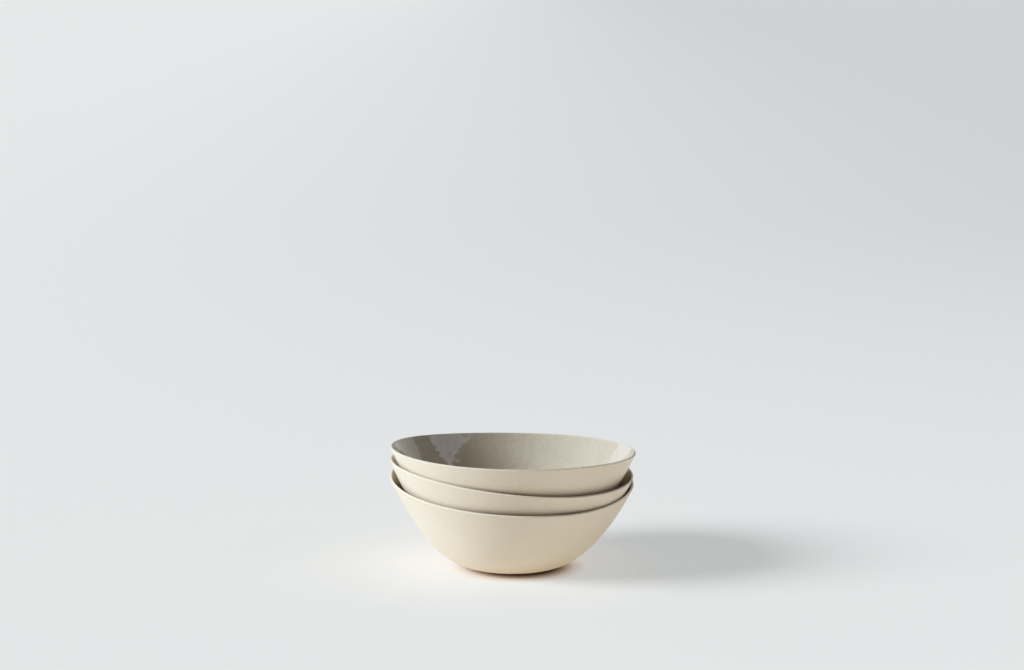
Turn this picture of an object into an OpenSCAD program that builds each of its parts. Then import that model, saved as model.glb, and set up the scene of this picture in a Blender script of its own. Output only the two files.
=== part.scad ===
// Nest of three hand-formed porcelain bowls, bare biscuit outside and glazed inside.
// The origin is the middle of the bottom bowl's foot, on the table, with +Z up.
// Directions are degrees counter-clockwise from +X, seen from above; lengths are millimetres.

/* [Every bowl] */
// Diameter of the flat foot
foot_d = 55; // [40:1:80]
// Curve of the wall from foot to lip: 1 is a straight cone, 2 a parabola
wall_curve = 2; // [1.5:0.1:3]
// Thickness of the porcelain at the lip
lip_t = 1.6; // [1.2:0.1:3]
// Thickness of the porcelain at the floor
floor_t = 3.6; // [2.4:0.1:6]
// Thickness of the glaze
glaze_t = 0.3; // [0.2:0.05:0.6]
// Gap where a bowl sits in the one below it
seat_gap = 0.3; // [0.2:0.05:1]

/* [Bottom bowl] */
// Mean diameter across the rim
bottom_rim_d = 156; // [130:0.2:180]
// Mean height of the lip above the foot
bottom_h = 53.7; // [42:0.1:70]
// Rise of the rim on its high side
bottom_lean = 7.0; // [0:0.1:9]
// Direction of the high side
bottom_lean_dir = 124; // [0:1:359]
// Rise of the rim on two opposite sides
bottom_saddle = 0.4; // [0:0.1:4]
// Direction of one of the two raised sides
bottom_saddle_dir = 133; // [0:1:179]
// Height of the three waves around the rim
bottom_wave = 0.6; // [0:0.1:2]
// Direction of one wave's crest
bottom_wave_dir = 24; // [0:1:119]
// Distance of the rim's middle from the foot's middle
bottom_shift = 3.9; // [0:0.1:6]
// Direction in which the rim is off the middle
bottom_shift_dir = 83; // [0:1:359]
// Pull of the rim into an oval
bottom_oval = 1.8; // [0:0.1:4]
// Direction of the oval's long axis
bottom_oval_dir = 29; // [0:1:179]
// Bulge of the rim in three places
bottom_lobe = 2.4; // [0:0.1:3]
// Direction of one of the three bulges
bottom_lobe_dir = 37; // [0:1:119]

/* [Middle bowl] */
// Mean diameter across the rim
middle_rim_d = 156.8; // [130:0.2:180]
// Mean height of the lip above the foot
middle_h = 56.8; // [42:0.1:70]
// Rise of the rim on its high side
middle_lean = 6.3; // [0:0.1:9]
// Direction of the high side
middle_lean_dir = 170; // [0:1:359]
// Rise of the rim on two opposite sides
middle_saddle = 1.3; // [0:0.1:4]
// Direction of one of the two raised sides
middle_saddle_dir = 42; // [0:1:179]
// Height of the three waves around the rim
middle_wave = 0.1; // [0:0.1:2]
// Direction of one wave's crest
middle_wave_dir = 61; // [0:1:119]
// Distance of the rim's middle from the foot's middle
middle_shift = 1.1; // [0:0.1:6]
// Direction in which the rim is off the middle
middle_shift_dir = 108; // [0:1:359]
// Pull of the rim into an oval
middle_oval = 1.5; // [0:0.1:4]
// Direction of the oval's long axis
middle_oval_dir = 31; // [0:1:179]
// Bulge of the rim in three places
middle_lobe = 1.0; // [0:0.1:3]
// Direction of one of the three bulges
middle_lobe_dir = 28; // [0:1:119]

/* [Top bowl] */
// Mean diameter across the rim
top_rim_d = 159.6; // [130:0.2:180]
// Mean height of the lip above the foot
top_h = 57.2; // [42:0.1:70]
// Rise of the rim on its high side
top_lean = 4.5; // [0:0.1:9]
// Direction of the high side
top_lean_dir = 239; // [0:1:359]
// Rise of the rim on two opposite sides
top_saddle = 0.6; // [0:0.1:4]
// Direction of one of the two raised sides
top_saddle_dir = 7; // [0:1:179]
// Height of the three waves around the rim
top_wave = 0.3; // [0:0.1:2]
// Direction of one wave's crest
top_wave_dir = 54; // [0:1:119]
// Distance of the rim's middle from the foot's middle
top_shift = 1.8; // [0:0.1:6]
// Direction in which the rim is off the middle
top_shift_dir = 285; // [0:1:359]
// Pull of the rim into an oval
top_oval = 1.0; // [0:0.1:4]
// Direction of the oval's long axis
top_oval_dir = 53; // [0:1:179]
// Bulge of the rim in three places
top_lobe = 0.5; // [0:0.1:3]
// Direction of one of the three bulges
top_lobe_dir = 14; // [0:1:119]

/* [Hidden] */

biscuit = [0.87, 0.83, 0.75];
glaze = [0.80, 0.78, 0.72];

// Corners around a bowl, rows up its wall, steps over its lip and samples where two walls are compared
facets = 60;
wall_rows = 11;
lip_steps = 4;
seat_samples = 60;

// Depth that the blank reaches below the table before the foot is ground flat
grind_t = 1;

foot_r = foot_d / 2;
angles = [for (j = [0:facets - 1]) j * 360 / facets];
rows = [for (i = [0:wall_rows]) i / wall_rows];

// A bowl is two closed curves, the lip's radius and its height: a mean, then 1, 2 and 3 waves a turn,
// each given by its size and the direction of a crest
bottom = [
    [bottom_rim_d / 2, [bottom_shift, bottom_shift_dir], [bottom_oval, bottom_oval_dir],
        [bottom_lobe, bottom_lobe_dir]],
    [bottom_h, [bottom_lean, bottom_lean_dir], [bottom_saddle, bottom_saddle_dir],
        [bottom_wave, bottom_wave_dir]]
];
middle = [
    [middle_rim_d / 2, [middle_shift, middle_shift_dir], [middle_oval, middle_oval_dir],
        [middle_lobe, middle_lobe_dir]],
    [middle_h, [middle_lean, middle_lean_dir], [middle_saddle, middle_saddle_dir],
        [middle_wave, middle_wave_dir]]
];
top = [
    [top_rim_d / 2, [top_shift, top_shift_dir], [top_oval, top_oval_dir], [top_lobe, top_lobe_dir]],
    [top_h, [top_lean, top_lean_dir], [top_saddle, top_saddle_dir], [top_wave, top_wave_dir]]
];

// Value of such a closed curve in direction a
function around(curve, a) =
    curve[0] + [for (k = [1:3]) curve[k][0] * cos(k * (a - curve[k][1]))] * [1, 1, 1];

function rim_r(bowl, a) = around(bowl[0], a);
function crest_z(bowl, a) = around(bowl[1], a);

// Height at which the outside of the wall ends and the round of the lip begins
function wall_h(bowl, a) =
    let (lip_slope = atan(wall_curve * crest_z(bowl, a) / (rim_r(bowl, a) - foot_r)))
    crest_z(bowl, a) - lip_t / 2 * (1 + cos(lip_slope));

// Slope of the wall in degrees at the share t of the way out from foot to rim
function slope(bowl, a, t) =
    atan(wall_curve * wall_h(bowl, a) * pow(t, wall_curve - 1) / (rim_r(bowl, a) - foot_r));

// Outside of the wall as [radius, height]: the height grows as a power of the way out from the foot
function outside(bowl, a, t) =
    [foot_r + (rim_r(bowl, a) - foot_r) * t, wall_h(bowl, a) * pow(t, wall_curve)];

// Point of the section a depth in from the outside, square to the wall
function within(bowl, a, t, depth) =
    let (s = slope(bowl, a, t))
    outside(bowl, a, t) + depth * [-sin(s), cos(s)];

function wall_t(t) = floor_t + (lip_t - floor_t) * t;

// Half circle over the lip, grown by extra, from its outer edge (turn 0) to its inner edge (turn 180)
function over_lip(bowl, a, turn, extra) =
    let (s = slope(bowl, a, 1))
    within(bowl, a, 1, lip_t / 2)
        + (lip_t / 2 + extra) * (cos(turn) * [sin(s), -cos(s)] + sin(turn) * [cos(s), sin(s)]);

// Lowest place of a wall that stands in the bowl: its glazed inside and lip, seat_gap further in
function seat_line(bowl, a) = concat(
    [for (t = rows) within(bowl, a, t, wall_t(t) + glaze_t + seat_gap)],
    [for (i = [0:lip_steps]) over_lip(bowl, a, 180 - i * 120 / lip_steps, seat_gap)]
);

// How high the foot of the upper bowl stands over the foot of the lower one it sits in
function nest_rise(lower, upper) = max([
    for (a = angles)
        let (line = seat_line(lower, a), reach = line[len(line) - 1][0])
        for (i = [0:seat_samples])
            let (p = outside(upper, a, i / seat_samples))
            if (p[0] <= reach) lookup(p[0], line) - p[1]
]);

middle_z = nest_rise(bottom, middle);
top_z = middle_z + nest_rise(middle, top);

// Section of the porcelain: ground-off blank, outside, lip, then the inside down to the floor
function porcelain_section(bowl, a) = concat(
    [[foot_r, -grind_t]],
    [for (t = rows) outside(bowl, a, t)],
    [for (i = [1:lip_steps - 1]) over_lip(bowl, a, i * 180 / lip_steps, 0)],
    [for (i = [wall_rows:-1:0]) within(bowl, a, rows[i], wall_t(rows[i]))]
);

// Section of the glaze: the porcelain's inside, then the glaze's own face back down to the floor
function glaze_section(bowl, a) = concat(
    [for (t = rows) within(bowl, a, t, wall_t(t))],
    [for (i = [wall_rows:-1:0]) within(bowl, a, rows[i], wall_t(rows[i]) + glaze_t)]
);

// Closed solid through one section per direction, with a flat disc at the section's two ends.
// The panels between sections are split along one diagonal, or along the other one if crossed
module turned(sections, crossed = false) {
    count = len(sections[0]);
    rings = [for (i = [0:count - 1]) for (j = [0:facets - 1])
        let (p = sections[j][i]) [p[0] * cos(angles[j]), p[0] * sin(angles[j]), p[1]]];
    centres = [for (p = [sections[0][0], sections[0][count - 1]]) [0, 0, p[1]]];
    last = (count - 1) * facets;
    walls = [for (i = [0:count - 2]) for (j = [0:facets - 1])
        let (a = i * facets + j, b = i * facets + (j + 1) % facets)
        each crossed
            ? [[a, a + facets, b], [b, a + facets, b + facets]]
            : [[a, a + facets, b + facets], [a, b + facets, b]]];
    first_disc = [for (j = [0:facets - 1]) [count * facets, j, (j + 1) % facets]];
    last_disc = [for (j = [0:facets - 1])
        [count * facets + 1, last + (j + 1) % facets, last + j]];
    polyhedron(concat(rings, centres), concat(walls, first_disc, last_disc));
}

// Porcelain of one bowl, with its foot ground flat
module porcelain(bowl) {
    difference() {
        turned([for (a = angles) porcelain_section(bowl, a)]);
        translate([-foot_d, -foot_d, -2 * grind_t])
            cube([2 * foot_d, 2 * foot_d, 2 * grind_t]);
    }
}

// Coat of glaze inside one bowl, its panels crossed so that its back has the panels of the wall it lies on
module coat(bowl) {
    turned([for (a = angles) glaze_section(bowl, a)], crossed = true);
}

module bottom_bowl() {
    color(biscuit) porcelain(bottom);
}

module bottom_glaze() {
    color(glaze) coat(bottom);
}

module middle_bowl() {
    color(biscuit) translate([0, 0, middle_z]) porcelain(middle);
}

module middle_glaze() {
    color(glaze) translate([0, 0, middle_z]) coat(middle);
}

module top_bowl() {
    color(biscuit) translate([0, 0, top_z]) porcelain(top);
}

module top_glaze() {
    color(glaze) translate([0, 0, top_z]) coat(top);
}

bottom_bowl();
bottom_glaze();
middle_bowl();
middle_glaze();
top_bowl();
top_glaze();
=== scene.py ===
"""Nest of three hand-formed porcelain bowls: bare matt biscuit outside, glossy glaze inside."""

import math

import bpy
import numpy as np
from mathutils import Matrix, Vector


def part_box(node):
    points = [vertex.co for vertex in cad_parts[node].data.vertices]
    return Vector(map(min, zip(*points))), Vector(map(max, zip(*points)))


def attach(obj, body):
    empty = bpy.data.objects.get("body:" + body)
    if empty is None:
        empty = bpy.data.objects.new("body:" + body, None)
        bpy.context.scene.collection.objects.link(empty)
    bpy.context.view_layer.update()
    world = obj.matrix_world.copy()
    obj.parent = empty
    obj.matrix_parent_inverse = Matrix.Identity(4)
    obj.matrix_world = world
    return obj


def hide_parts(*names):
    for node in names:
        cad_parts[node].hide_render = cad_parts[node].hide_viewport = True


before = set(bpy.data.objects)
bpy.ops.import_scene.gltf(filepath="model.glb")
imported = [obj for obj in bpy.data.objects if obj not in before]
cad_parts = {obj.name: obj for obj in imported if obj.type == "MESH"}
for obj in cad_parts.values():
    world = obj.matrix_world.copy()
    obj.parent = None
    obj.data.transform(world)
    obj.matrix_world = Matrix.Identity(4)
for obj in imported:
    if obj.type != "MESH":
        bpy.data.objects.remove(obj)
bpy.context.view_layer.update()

# Sizes that every bowl shares, in metres; the inset keeps the round skin inside the solids' flat panels
MM = 0.001
FOOT_R = 27.5 * MM
WALL_CURVE = 2.0
LIP_T = 1.6 * MM
FLOOR_T = 3.6 * MM
GLAZE_T = 0.3 * MM
GLAZE_EDGE_T = 0.05 * MM
INSET = 0.18 * MM

# Lip: where it starts, as a share of the wall, and how square it is, where 1 is round and 0 is square
LIP_FROM = 0.999
LIP_SQUARE = 0.55

# Each bowl's lip radius and lip height: the mean in millimetres, then 1, 2 and 3 waves a turn,
# each given by its size in millimetres and the direction of a crest in degrees
BOWLS = {
    "bottom": {
        "radius": (78.0, (3.9, 83), (1.8, 29), (2.4, 37)),
        "crest": (53.7, (7.0, 124), (0.4, 133), (0.6, 24)),
    },
    "middle": {
        "radius": (78.4, (1.1, 108), (1.5, 31), (1.0, 28)),
        "crest": (56.8, (6.3, 170), (1.3, 42), (0.1, 61)),
    },
    "top": {
        "radius": (79.8, (1.8, 285), (1.0, 53), (0.5, 14)),
        "crest": (57.2, (4.5, 239), (0.6, 7), (0.3, 54)),
    },
}

# Marks of the hand: how deep the presses in the wall are, how many go round and up it,
# and the share of the wall over which the inset grows from nothing at the foot
PRESS_DEPTH = 0.16 * MM
PRESSES = ((5, 2.0), (8, -3.0), (13, 5.0))
FOOT_FADE = 0.1

# Glaze, in shares of the wall: where it starts to thin, where it ends, and how far that edge wanders
THIN_FROM = 0.75
GLAZE_END = 0.995
GLAZE_WANDER = 0.003

# Waves a turn in that edge
EDGE_WAVES = (11, 23)

# Rings of the glaze's face: the first below the edge, as a share of it, and the power that crowds them there
EDGE_STEP = 0.9995
EDGE_CROWD = 0.8

# Points around a bowl and along its section
COLUMNS = 360
WALL_ROWS = 64
LIP_ROWS = 16
INSIDE_ROWS = 40
FOOT_ROWS = 6

TURNS = np.linspace(0, 2 * np.pi, COLUMNS, endpoint=False)


def around(curve):
    """Closed curve: a mean plus, for 1, 2 and 3 waves a turn, size times the cosine from the crest."""
    mean, *waves = curve
    total = np.full(COLUMNS, float(mean))
    for count, (size, crest) in enumerate(waves, 1):
        total += size * np.cos(count * (TURNS - np.radians(crest)))
    return total * MM


class Wall:
    """Section of a bowl's wall in every direction, as arrays of radius and height."""

    def __init__(self, name):
        """Reach and height of the outer face, to which the lip adds its round to reach the crest."""
        self.seed = list(BOWLS).index(name) + 1.0
        self.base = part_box(f"{name}_bowl")[0][2]
        self.reach = around(BOWLS[name]["radius"]) - FOOT_R
        crest = around(BOWLS[name]["crest"])
        lip_slope = np.arctan(WALL_CURVE * crest / self.reach)
        self.height = crest - LIP_T / 2 * (1 + np.cos(lip_slope))

    def slope(self, share):
        """Angle above the level: its tangent is power times height times share to power - 1, over reach."""
        return np.arctan(WALL_CURVE * self.height * share ** (WALL_CURVE - 1) / self.reach)

    def within(self, share, depth):
        """Point at a share of the way out, where height grows as share to a power, then depth in."""
        slope = self.slope(share)
        radius = FOOT_R + self.reach * share - depth * np.sin(slope)
        height = self.height * share**WALL_CURVE + depth * np.cos(slope)
        return radius, height

    def press(self, share):
        """Inset plus the depth pressed in: sines that wind round and up it, faded out at foot and lip."""
        waves = sum(
            np.sin(count * TURNS + climb * share * np.pi + self.seed * count)
            for count, climb in PRESSES
        )
        even = 0.5 + waves / (2 * len(PRESSES))
        inset = INSET * np.clip(share / FOOT_FADE, 0, 1)
        return inset + PRESS_DEPTH * even * np.sin(np.pi * share) ** 2

    def over_lip(self, turn):
        """Rounded square over the lip, from its outer edge at turn 0 to its inner edge at turn pi.

        It is half of a circle whose cosine and sine are each raised to a power.
        """
        slope = self.slope(LIP_FROM)
        half = (LIP_T - INSET) / 2
        out = half * np.sign(np.cos(turn)) * np.abs(np.cos(turn)) ** LIP_SQUARE
        up = half * np.sin(turn) ** LIP_SQUARE
        radius, height = self.within(LIP_FROM, LIP_T - half)
        radius = radius + out * np.sin(slope) + up * np.cos(slope)
        height = height + up * np.sin(slope) - out * np.cos(slope)
        return radius, height

    def rings(self, radius, height):
        """Points of rings in rows, from radius and height in each direction, raised to the bowl's base."""
        radius, height, turns = np.broadcast_arrays(radius, height, TURNS)
        return np.stack([radius * np.cos(turns), radius * np.sin(turns), height + self.base], axis=-1)


def thickness(share):
    """Thickness of the porcelain: straight from the floor's to the lip's."""
    return FLOOR_T + (LIP_T - FLOOR_T) * share


def column(first, last, count):
    """Evenly spaced shares, as a column that spreads over all directions."""
    return np.linspace(first, last, count)[:, None]


def disc():
    """Radii of the rings over the foot or the floor, evenly spaced between its middle and its edge."""
    return column(1 / FOOT_ROWS, 1 - 1 / FOOT_ROWS, FOOT_ROWS - 1) * FOOT_R


def skin(name, rows, marks):
    """Closed mesh through rows of rings, fanned to a point in the middle of the first and last ring.

    marks gives each ring point a value, kept as the mesh's float attribute of that name.
    """
    count = len(rows)
    ring_points = rows.reshape(-1, 3)
    ends = np.array([[0, 0, rows[0, :, 2].mean()], [0, 0, rows[-1, :, 2].mean()]])
    points = np.concatenate([ring_points, ends])
    number = np.arange(count * COLUMNS).reshape(count, COLUMNS)
    after = np.roll(number, -1, axis=1)
    quads = np.stack([number[:-1], after[:-1], after[1:], number[1:]], axis=-1).reshape(-1, 4)
    first = np.full(COLUMNS, count * COLUMNS)
    last = first + 1
    fans = np.concatenate([
        np.stack([first, after[0], number[0]], axis=-1),
        np.stack([last, number[-1], after[-1]], axis=-1),
    ])
    corners = np.concatenate([quads.ravel(), fans.ravel()]).astype(np.int32)
    sizes = np.concatenate([np.full(len(quads), 4), np.full(len(fans), 3)])
    mesh = bpy.data.meshes.new(name)
    mesh.vertices.add(len(points))
    mesh.vertices.foreach_set("co", points.ravel().astype(np.float32))
    mesh.loops.add(len(corners))
    mesh.loops.foreach_set("vertex_index", corners)
    mesh.polygons.add(len(sizes))
    mesh.polygons.foreach_set("loop_start", (np.cumsum(sizes) - sizes).astype(np.int32))
    mesh.polygons.foreach_set("use_smooth", np.ones(len(sizes), dtype=bool))
    for mark, values in marks.items():
        attribute = mesh.attributes.new(mark, "FLOAT", "POINT")
        data = np.concatenate([values.ravel(), [values[0, 0], values[-1, -1]]]).astype(np.float32)
        attribute.data.foreach_set("value", data)
    mesh.update(calc_edges=True)
    return mesh


def piece(mesh, name, finish):
    """Object that stands for the CAD node of its name and rides on that node's body."""
    obj = bpy.data.objects.new(f"{name}_dressed", mesh)
    bpy.context.scene.collection.objects.link(obj)
    obj.data.materials.append(finish)
    body = name.split("_")[0]
    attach(obj, body)
    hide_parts(name)
    return obj


def porcelain(name, finish):
    """Biscuit body of a bowl: foot, pressed outside, squared lip, and the inside under the glaze.

    The mark named lip runs from 0 on the outside to 1 on the inside.
    """
    wall = Wall(name)
    up = column(0, LIP_FROM, WALL_ROWS + 1)
    turn = column(0, np.pi, LIP_ROWS + 1)[1:-1]
    down = column(LIP_FROM, 0, INSIDE_ROWS + 1)
    sections = [
        (disc(), 0.0, 0.0),
        (*wall.within(up, wall.press(up)), 0.0),
        (*wall.over_lip(turn), turn / np.pi),
        (*wall.within(down, thickness(down)), 1.0),
        (disc()[::-1], FLOOR_T, 1.0),
    ]
    rows = np.concatenate([wall.rings(radius, height) for radius, height, _ in sections])
    lip = np.concatenate([np.broadcast_to(mark, (len(radius), COLUMNS)) for radius, _, mark in sections])
    mesh = skin(f"{name}_bowl_mesh", rows, {"lip": lip})
    return piece(mesh, f"{name}_bowl", finish)


def glaze_coat(name, finish):
    """Coat of glaze: the porcelain's inside, and a face that thins as half a cosine to a wandering edge."""
    wall = Wall(name)
    few, many = EDGE_WAVES
    wander = np.sin(few * TURNS + wall.seed) + np.sin(many * TURNS - 2 * wall.seed)
    end = GLAZE_END + GLAZE_WANDER / 2 * wander
    up = column(0, 1, INSIDE_ROWS + 1) * end
    below_edge = EDGE_STEP * column(1, 0, WALL_ROWS + 1) ** EDGE_CROWD
    down = np.concatenate([np.ones((1, 1)), below_edge]) * end
    thin = np.clip((down - THIN_FROM) / (end - THIN_FROM), 0, 1)
    coat = GLAZE_EDGE_T + (GLAZE_T - GLAZE_EDGE_T) * (1 + np.cos(np.pi * thin)) / 2
    sections = [
        (disc(), FLOOR_T),
        wall.within(up, thickness(up)),
        wall.within(down, thickness(down) + coat),
        (disc()[::-1], FLOOR_T + GLAZE_T),
    ]
    rows = np.concatenate([wall.rings(radius, height) for radius, height in sections])
    mesh = skin(f"{name}_glaze_mesh", rows, {})
    return piece(mesh, f"{name}_glaze", finish)


class Signal:
    """A value in a material; arithmetic on it adds Math nodes."""

    def __init__(self, finish, socket):
        self.finish = finish
        self.socket = socket

    def __add__(self, other):
        return self.finish.math("ADD", self, other)

    def __sub__(self, other):
        return self.finish.math("SUBTRACT", self, other)

    def __rsub__(self, other):
        return self.finish.math("SUBTRACT", other, self)

    def __mul__(self, other):
        return self.finish.math("MULTIPLY", self, other)

    __radd__ = __add__
    __rmul__ = __mul__

    def between(self, low, high):
        """Smooth step from 0 at low to 1 at high."""
        inputs = {"Value": self, "From Min": low, "From Max": high}
        return self.finish.node("ShaderNodeMapRange", {"interpolation_type": "SMOOTHSTEP"}, inputs)


def opaque(colour):
    """Red, green and blue with full cover, as a socket takes them; a signal stays as it is."""
    return colour if isinstance(colour, Signal) else (*colour, 1.0)


def rgb(red, green, blue):
    """Linear colour from display values of 0 to 255."""
    share = np.array([red, green, blue]) / 255
    linear = np.where(share <= 0.04045, share / 12.92, ((share + 0.055) / 1.055) ** 2.4)
    return tuple(linear.tolist())


class Finish:
    """A material, or the room's world, that is built from nodes."""

    # Sockets of a Mix node that mixes colours
    MIX = {"Factor": 0, "A": 6, "B": 7, "Result": 2}

    # Where a speck starts and stops fading, as shares of its width
    SPECK_FADE = (0.35, 0.65)

    def __init__(self, owner):
        self.owner = owner
        owner.use_nodes = True
        self.tree = owner.node_tree
        self.tree.nodes.clear()
        self.place = self.node("ShaderNodeTexCoord", output="Object")

    @classmethod
    def material(cls, name):
        """Finish of a new material."""
        return cls(bpy.data.materials.new(name))

    def node(self, kind, settings=None, inputs=None, output=0):
        """Node of a type, with its settings first and then values or links for its sockets."""
        made = self.tree.nodes.new(kind)
        for key, value in (settings or {}).items():
            setattr(made, key, value)
        for key, value in (inputs or {}).items():
            if isinstance(value, Signal):
                self.tree.links.new(value.socket, made.inputs[key])
            else:
                made.inputs[key].default_value = value
        return Signal(self, made.outputs[output])

    def math(self, operation, *values):
        """Math node on values or signals."""
        return self.node("ShaderNodeMath", {"operation": operation}, dict(enumerate(values)))

    def vector_math(self, operation, *vectors, output="Value"):
        """Vector Math node on vectors or signals."""
        return self.node("ShaderNodeVectorMath", {"operation": operation}, dict(enumerate(vectors)), output)

    def noise(self, size, detail=2.0, seed=0.0):
        """Cloudy noise around 0.5 whose lumps measure about size metres."""
        inputs = {"Vector": self.place, "W": seed, "Scale": 1 / size, "Detail": detail}
        return self.node("ShaderNodeTexNoise", {"noise_dimensions": "4D"}, inputs)

    def specks(self, spacing, size):
        """Small round spots of 1, about spacing apart and size across, in metres."""
        inputs = {"Vector": self.place, "Scale": 1 / spacing}
        near = self.node("ShaderNodeTexVoronoi", {}, inputs, "Distance")
        return 1 - near.between(*(share * size / spacing for share in self.SPECK_FADE))

    def mark(self, name):
        """The mesh's own float attribute."""
        return self.node("ShaderNodeAttribute", {"attribute_name": name}, {}, "Fac")

    def blend(self, factor, a, b):
        """Colour a where factor is 0 and b where it is 1."""
        inputs = {self.MIX["Factor"]: factor, self.MIX["A"]: opaque(a), self.MIX["B"]: opaque(b)}
        return self.node("ShaderNodeMix", {"data_type": "RGBA"}, inputs, self.MIX["Result"])

    def bump(self, height):
        """Normal of a surface raised by height metres."""
        return self.node("ShaderNodeBump", {}, {"Height": height, "Distance": 1.0, "Strength": 1.0})

    def part(self, axis):
        """Place along X, Y or Z, in metres."""
        return self.node("ShaderNodeSeparateXYZ", {}, {"Vector": self.place}, axis)

    def ray(self, fact):
        """What is known of the ray of light that meets the surface."""
        return self.node("ShaderNodeLightPath", {}, {}, fact)

    def glow(self, colour):
        """Glow of a colour, where 1 is white."""
        return self.node("ShaderNodeEmission", {}, {"Color": colour, "Strength": 1.0})

    def output(self, shader, kind="ShaderNodeOutputMaterial"):
        """Links the shader to the output and gives back the material or world."""
        end = self.tree.nodes.new(kind)
        self.tree.links.new(shader.socket, end.inputs["Surface"])
        return self.owner


# Noise values between which clouds, grain, patches of specks and pieces of the lip's line come in
CLOUDS_IN = (0.3, 0.7)
GRAIN_IN = (0.35, 0.75)
STREWN_IN = (0.5, 0.62)
BROKEN_IN = (0.2, 0.6)

# Biscuit: colours, and how far the colours of grain, specks and line cover the clay
CLAY = rgb(230, 216, 192)
CLAY_CLOUD = rgb(226, 211, 186)
CLAY_GRAIN = rgb(214, 198, 170)
CLAY_GRAIN_COVER = 0.35
SPECK = rgb(150, 124, 96)
SPECK_COVER = 0.55
LAP = rgb(200, 187, 165)
LINE = rgb(158, 132, 108)
LINE_COVER = 0.2

# Lip: where the lapped glaze and the line at its end come in and go, from 0 outside to 1 inside
LAP_IN = (0.84, 0.92)
LINE_IN = (0.6, 0.7)
LINE_OUT = (0.8, 0.9)

# Biscuit: relief in metres, roughness with what grain adds and lapped glaze takes away, and shine
CLAY_GRAIN_RISE = 0.012 * MM
SPECK_DEPTH = 0.03 * MM
CLOUD_RISE = 0.04 * MM
CLAY_ROUGH = 0.36
CLAY_GRAIN_ROUGH = 0.1
LAP_SMOOTH = 0.28
CLAY_SHINE = 0.6

# Glaze: colours, how far the grain's covers the others, relief in metres, roughness and shine
GLAZE = rgb(202, 188, 164)
GLAZE_CLOUD = rgb(196, 181, 157)
GLAZE_GRAIN = rgb(178, 163, 140)
GLAZE_GRAIN_COVER = 0.45
RIPPLE_RISE = 0.2 * MM
SWELL_RISE = 0.08 * MM
GLAZE_ROUGH = 0.015
GLAZE_GRAIN_ROUGH = 0.02
GLAZE_SHINE = 0.55


def biscuit_finish():
    """Bare fired porcelain: warm cream with faint clouds, fine grain and specks.

    The glaze laps onto the inner side of the lip and ends there in a thin brown line.
    """
    f = Finish.material("biscuit")
    clouds = f.noise(size=45 * MM, detail=3.0).between(*CLOUDS_IN)
    grain = f.noise(size=0.9 * MM, seed=3.0)
    strewn = f.noise(size=20 * MM, detail=1.0, seed=7.0).between(*STREWN_IN)
    spots = f.specks(spacing=9 * MM, size=0.5 * MM) * strewn
    lip = f.mark("lip")
    lapped = lip.between(*LAP_IN)
    broken = f.noise(size=14 * MM, seed=5.0).between(*BROKEN_IN)
    line = lip.between(*LINE_IN) * (1 - lip.between(*LINE_OUT)) * broken
    colour = f.blend(clouds, CLAY, CLAY_CLOUD)
    colour = f.blend(grain.between(*GRAIN_IN) * CLAY_GRAIN_COVER, colour, CLAY_GRAIN)
    colour = f.blend(spots * SPECK_COVER, colour, SPECK)
    colour = f.blend(lapped, colour, LAP)
    colour = f.blend(line * LINE_COVER, colour, LINE)
    height = grain * CLAY_GRAIN_RISE - spots * SPECK_DEPTH + clouds * CLOUD_RISE
    shader = f.node("ShaderNodeBsdfPrincipled", {}, {
        "Base Color": colour,
        "Roughness": CLAY_ROUGH - lapped * LAP_SMOOTH + (grain - 0.5) * CLAY_GRAIN_ROUGH,
        "Specular IOR Level": CLAY_SHINE,
        "Normal": f.bump(height),
    })
    return f.output(shader)


def glaze_finish():
    """Clear glaze on pale clay: beige with fine grain under gloss, and gently rippled."""
    f = Finish.material("glaze")
    clouds = f.noise(size=30 * MM, detail=3.0, seed=2.0).between(*CLOUDS_IN)
    grain = f.noise(size=1.1 * MM, seed=4.0)
    ripples = f.noise(size=4.5 * MM, detail=0.0, seed=36.0)
    swell = f.noise(size=28 * MM, detail=1.0, seed=8.0)
    colour = f.blend(clouds, GLAZE, GLAZE_CLOUD)
    colour = f.blend(grain.between(*GRAIN_IN) * GLAZE_GRAIN_COVER, colour, GLAZE_GRAIN)
    height = ripples * RIPPLE_RISE + swell * SWELL_RISE
    shader = f.node("ShaderNodeBsdfPrincipled", {}, {
        "Base Color": colour,
        "Roughness": GLAZE_ROUGH + grain * GLAZE_GRAIN_ROUGH,
        "Specular IOR Level": GLAZE_SHINE,
        "Normal": f.bump(height),
    })
    return f.output(shader)


BLACK = (0.0, 0.0, 0.0)

# Paper, in metres: its size from the middle, its fibres, and where it dims to the right and to the back
FLOOR_SPAN = 30.0
FIBRE_SIZE = 2 * MM
DIM_ACROSS = (-1.2, 1.2)
DIM_BACK = (-0.9, 2.2)

# Paper as it is seen: its matt colour, the share of it that fibres keep, and its glow, full and dimmed
PAPER_MATT = (0.522, 0.445, 0.366)
FIBRE_SHADE = 0.98
PAPER_GLOW = (0.388, 0.428, 0.447)
PAPER_DIM = (0.225, 0.266, 0.287)

# Paper as it lights the bowls: matt colour, and glow on the left, on the right and close to the foot
BOUNCE_MATT = (0.63, 0.62, 0.6)
BOUNCE_LEFT = (0.2, 0.17, 0.14)
BOUNCE_RIGHT = (0.58, 0.52, 0.41)
BOUNCE_ACROSS = (-0.13, 0.2)
BOUNCE_FOOT = (0.58, 0.53, 0.44)

# Painted shadow on the paper where the foot stands, a dark core in a warm halo of painted bounce light: its
# middle, where its dark core and its warm halo fade out, in metres, and their colours
PAINTED_SHADE_MIDDLE = (0.004, -0.009, 0.0)
CORE_OUT = (0.023, 0.037)
HALO_OUT = (0.028, 0.046)
PAINTED_SHADOW_GLOW = (0.03, 0.014, 0.007)
PAINTED_WARM_MATT = (0.41, 0.3, 0.205)
PAINTED_WARM_GLOW = (0.21, 0.18, 0.15)

# Room beyond the paper, as the camera sees it
ROOM = rgb(222, 225, 225)


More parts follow.
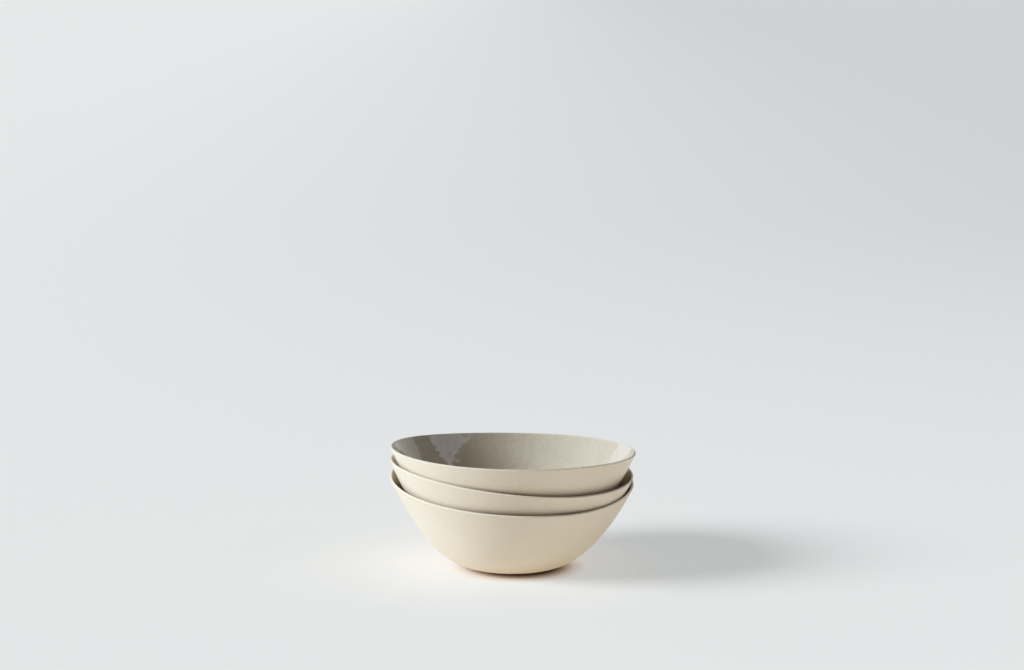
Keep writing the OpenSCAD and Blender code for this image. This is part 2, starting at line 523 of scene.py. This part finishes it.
def paper_finish():
    """Paper that is part matt and part lit from below, so its shadows stay light.

    It dims away from the light, to the right and to the back. Where the foot stands it has a painted shadow,
    a dark core in a warm halo of painted bounce light. The light that it throws up at the bowls is warmer
    than it shows, and does not dim there.
    """
    f = Finish.material("paper")
    mirrored = f.math("MAXIMUM", f.ray("Is Glossy Ray"), f.ray("Is Transmission Ray"))
    seen = f.math("MAXIMUM", f.ray("Is Camera Ray"), mirrored)
    fibre = f.noise(FIBRE_SIZE)
    across = f.part("X")
    dim = across.between(*DIM_ACROSS) * f.part("Y").between(*DIM_BACK)
    # Painted shadow round the foot, because the paper's glow takes no shadow: a dark core, and a warm halo of
    # painted bounce light
    away = f.vector_math("DISTANCE", f.place, PAINTED_SHADE_MIDDLE)
    core = away.between(*CORE_OUT)
    halo = away.between(*HALO_OUT)
    matt = f.blend(fibre, PAPER_MATT, FIBRE_SHADE * np.array(PAPER_MATT))
    matt = f.blend(core, BLACK, f.blend(halo, PAINTED_WARM_MATT, matt))
    matt = f.blend(seen, BOUNCE_MATT, matt)
    shown = f.blend(dim, PAPER_GLOW, PAPER_DIM)
    shown = f.blend(core, PAINTED_SHADOW_GLOW, f.blend(halo, PAINTED_WARM_GLOW, shown))
    thrown = f.blend(across.between(*BOUNCE_ACROSS), BOUNCE_LEFT, BOUNCE_RIGHT)
    thrown = f.blend(halo, BOUNCE_FOOT, thrown)
    light = f.blend(seen, thrown, shown)
    body = f.node("ShaderNodeBsdfDiffuse", {}, {"Color": matt})
    return f.output(f.node("ShaderNodeAddShader", {}, {0: body, 1: f.glow(light)}))


def card_finish(name, glow):
    """Evenly lit card, which shows in one mirror but not in a mirror's mirror, so narrow gaps stay dark."""
    f = Finish.material(name)
    again = f.ray("Glossy Depth").between(1.0, 2.0)
    return f.output(f.glow(f.blend(again, glow, BLACK)))


def faded_finish(name, glow, middle, spread):
    """Lit card that is brightest in one direction and fades smoothly to nothing at spread degrees off it."""
    f = Finish.material(name)
    facing = f.vector_math("NORMALIZE", f.place, output="Vector")
    nearness = f.vector_math("DOT_PRODUCT", facing, direction(*middle))
    level = nearness.between(math.cos(math.radians(spread)), 1.0)
    return f.output(f.glow(f.blend(level, BLACK, glow)))


def room_finish():
    """World beyond the floor: pale, and hidden by the dim walls from all but the camera."""
    f = Finish(bpy.data.worlds.new("room"))
    back = f.node("ShaderNodeBackground", {}, {"Color": opaque(ROOM), "Strength": 1.0})
    return f.output(back, "ShaderNodeOutputWorld")


def sheet(name, x, y, z, finish):
    """Open sheet through a grid of points, for the paper and the cards round the bowls."""
    points = np.stack(np.broadcast_arrays(x, y, z), axis=-1)
    number = np.arange(points[..., 0].size).reshape(points.shape[:2])
    quads = np.stack([number[:-1, :-1], number[:-1, 1:], number[1:, 1:], number[1:, :-1]], axis=-1)
    mesh = bpy.data.meshes.new(name)
    mesh.from_pydata(points.reshape(-1, 3).tolist(), [], quads.reshape(-1, 4).tolist())
    mesh.polygons.foreach_set("use_smooth", np.ones(len(mesh.polygons), dtype=bool))
    obj = bpy.data.objects.new(name, mesh)
    bpy.context.scene.collection.objects.link(obj)
    obj.data.materials.append(finish)
    return obj


def paper():
    """Flat floor that reaches past the camera's view."""
    flat = np.array([[-FLOOR_SPAN], [FLOOR_SPAN]])
    sheet("paper", flat.T, flat, 0.0, paper_finish())


# Key light on the left: direction and width in degrees, level, where 1 shows a colour as written, and tint
KEY_AZIMUTH = 192
KEY_ELEVATION = 27.7
KEY_WIDTH = 27
KEY_LEVEL = 1.2
KEY_TINT = (0.9, 1.06, 1.3)

# Cards and walls round the bowls: how far away they are, in metres, and the points of a card
CARDS_R = 90.0
WALLS_R = 120.0
CARD_ROWS = 17
CARD_COLUMNS = 33

# Lit cards that the glaze mirrors, in degrees round the foot: azimuths, elevations, lean at the top, and glow
CARDS = {
    "right": ((-30, 30), (-1, 14), 0, (0.45, 0.62, 0.9)),
    "side": ((112, 143), (-1, 50), 0, (0.9, 0.96, 1.08)),
    "window": ((-38, 12), (23.5, 38), -9, (1.18, 1.28, 1.62)),
}

# Lit cards that fade: azimuths, elevations, the brightest direction, degrees from there to nothing, and glow
FADED_CARDS = {
    "scrim": ((146, 278), (1, 89), (212, 38), 55, (0.51, 0.488, 0.405)),
    "backdrop": ((33, 72), (-1, 50), (80, 20), 75, (0.9, 0.91, 0.92)),
}

# Dim walls behind the cards
WALLS_AZIMUTHS = (0, 360)
WALLS_ELEVATIONS = (-2, 90)
WALLS_GLOW = (0.03, 0.029, 0.028)


def direction(azimuth, elevation):
    """Unit vector of a direction, in degrees from +X and above the floor."""
    turn = np.radians(azimuth)
    rise = np.radians(elevation)
    parts = (np.cos(rise) * np.cos(turn), np.cos(rise) * np.sin(turn), np.sin(rise))
    return np.stack(np.broadcast_arrays(*parts), axis=-1)


def card(name, azimuths, elevations, finish, lean=0, away=CARDS_R):
    """Part of a sphere round the bowls, which the camera doesn't see and the key shines through.

    It lies between two azimuths and two elevations, and its azimuths shift by lean towards its top.
    """
    high = column(0, 1, CARD_ROWS)
    turned = np.linspace(*azimuths, CARD_COLUMNS)[None, :] + lean * high
    raised = elevations[0] + (elevations[1] - elevations[0]) * high
    obj = sheet(name, *np.moveaxis(direction(turned, raised) * away, -1, 0), finish)
    obj.visible_camera = False
    obj.visible_shadow = False


def lights():
    """Soft key light on the left, lit cards that the glaze mirrors in its stead, and a dim room."""
    lamp = bpy.data.lights.new("key", "SUN")
    lamp.energy = math.pi * KEY_LEVEL
    lamp.angle = math.radians(KEY_WIDTH)
    lamp.color = KEY_TINT
    key = bpy.data.objects.new("key", lamp)
    key.rotation_euler = (0, math.radians(90 - KEY_ELEVATION), math.radians(KEY_AZIMUTH))
    key.visible_glossy = False
    bpy.context.scene.collection.objects.link(key)
    for name, (azimuths, elevations, middle, spread, glow) in FADED_CARDS.items():
        card(name, azimuths, elevations, faded_finish(name, glow, middle, spread))
    for name, (azimuths, elevations, lean, glow) in CARDS.items():
        card(name, azimuths, elevations, card_finish(name, glow), lean)
    card("walls", WALLS_AZIMUTHS, WALLS_ELEVATIONS, card_finish("walls", WALLS_GLOW), away=WALLS_R)
    bpy.context.scene.world = room_finish()


# Camera: the frame in pixels, distance from the bowls' foot in metres, elevation over the floor in degrees,
# focal length and the foot's row in pixels, and the sensor's width in millimetres
FRAME_W = 1024
FRAME_H = 670
VIEW_DISTANCE = 1.68
VIEW_ELEVATION = 14.0
FOCAL_PX = 2560
FOOT_PIXEL_Y = 562.65
SENSOR_W = 36.0


def camera():
    """Camera straight in front, tipped down so that the foot falls on its pixel row."""
    data = bpy.data.cameras.new("camera")
    data.sensor_width = SENSOR_W
    data.lens = FOCAL_PX / FRAME_W * SENSOR_W
    below = math.atan((FOOT_PIXEL_Y - FRAME_H / 2) / FOCAL_PX)
    rise = math.radians(VIEW_ELEVATION)
    obj = bpy.data.objects.new("camera", data)
    bpy.context.scene.collection.objects.link(obj)
    obj.location = (0, -VIEW_DISTANCE * math.cos(rise), VIEW_DISTANCE * math.sin(rise))
    obj.rotation_euler = (math.pi / 2 - rise + below, 0, 0)
    bpy.context.scene.camera = obj


camera()
biscuit = biscuit_finish()
glaze = glaze_finish()
for bowl in BOWLS:
    porcelain(bowl, biscuit)
    glaze_coat(bowl, glaze)
paper()
lights()
bpy.context.scene.view_settings.view_transform = "Standard"
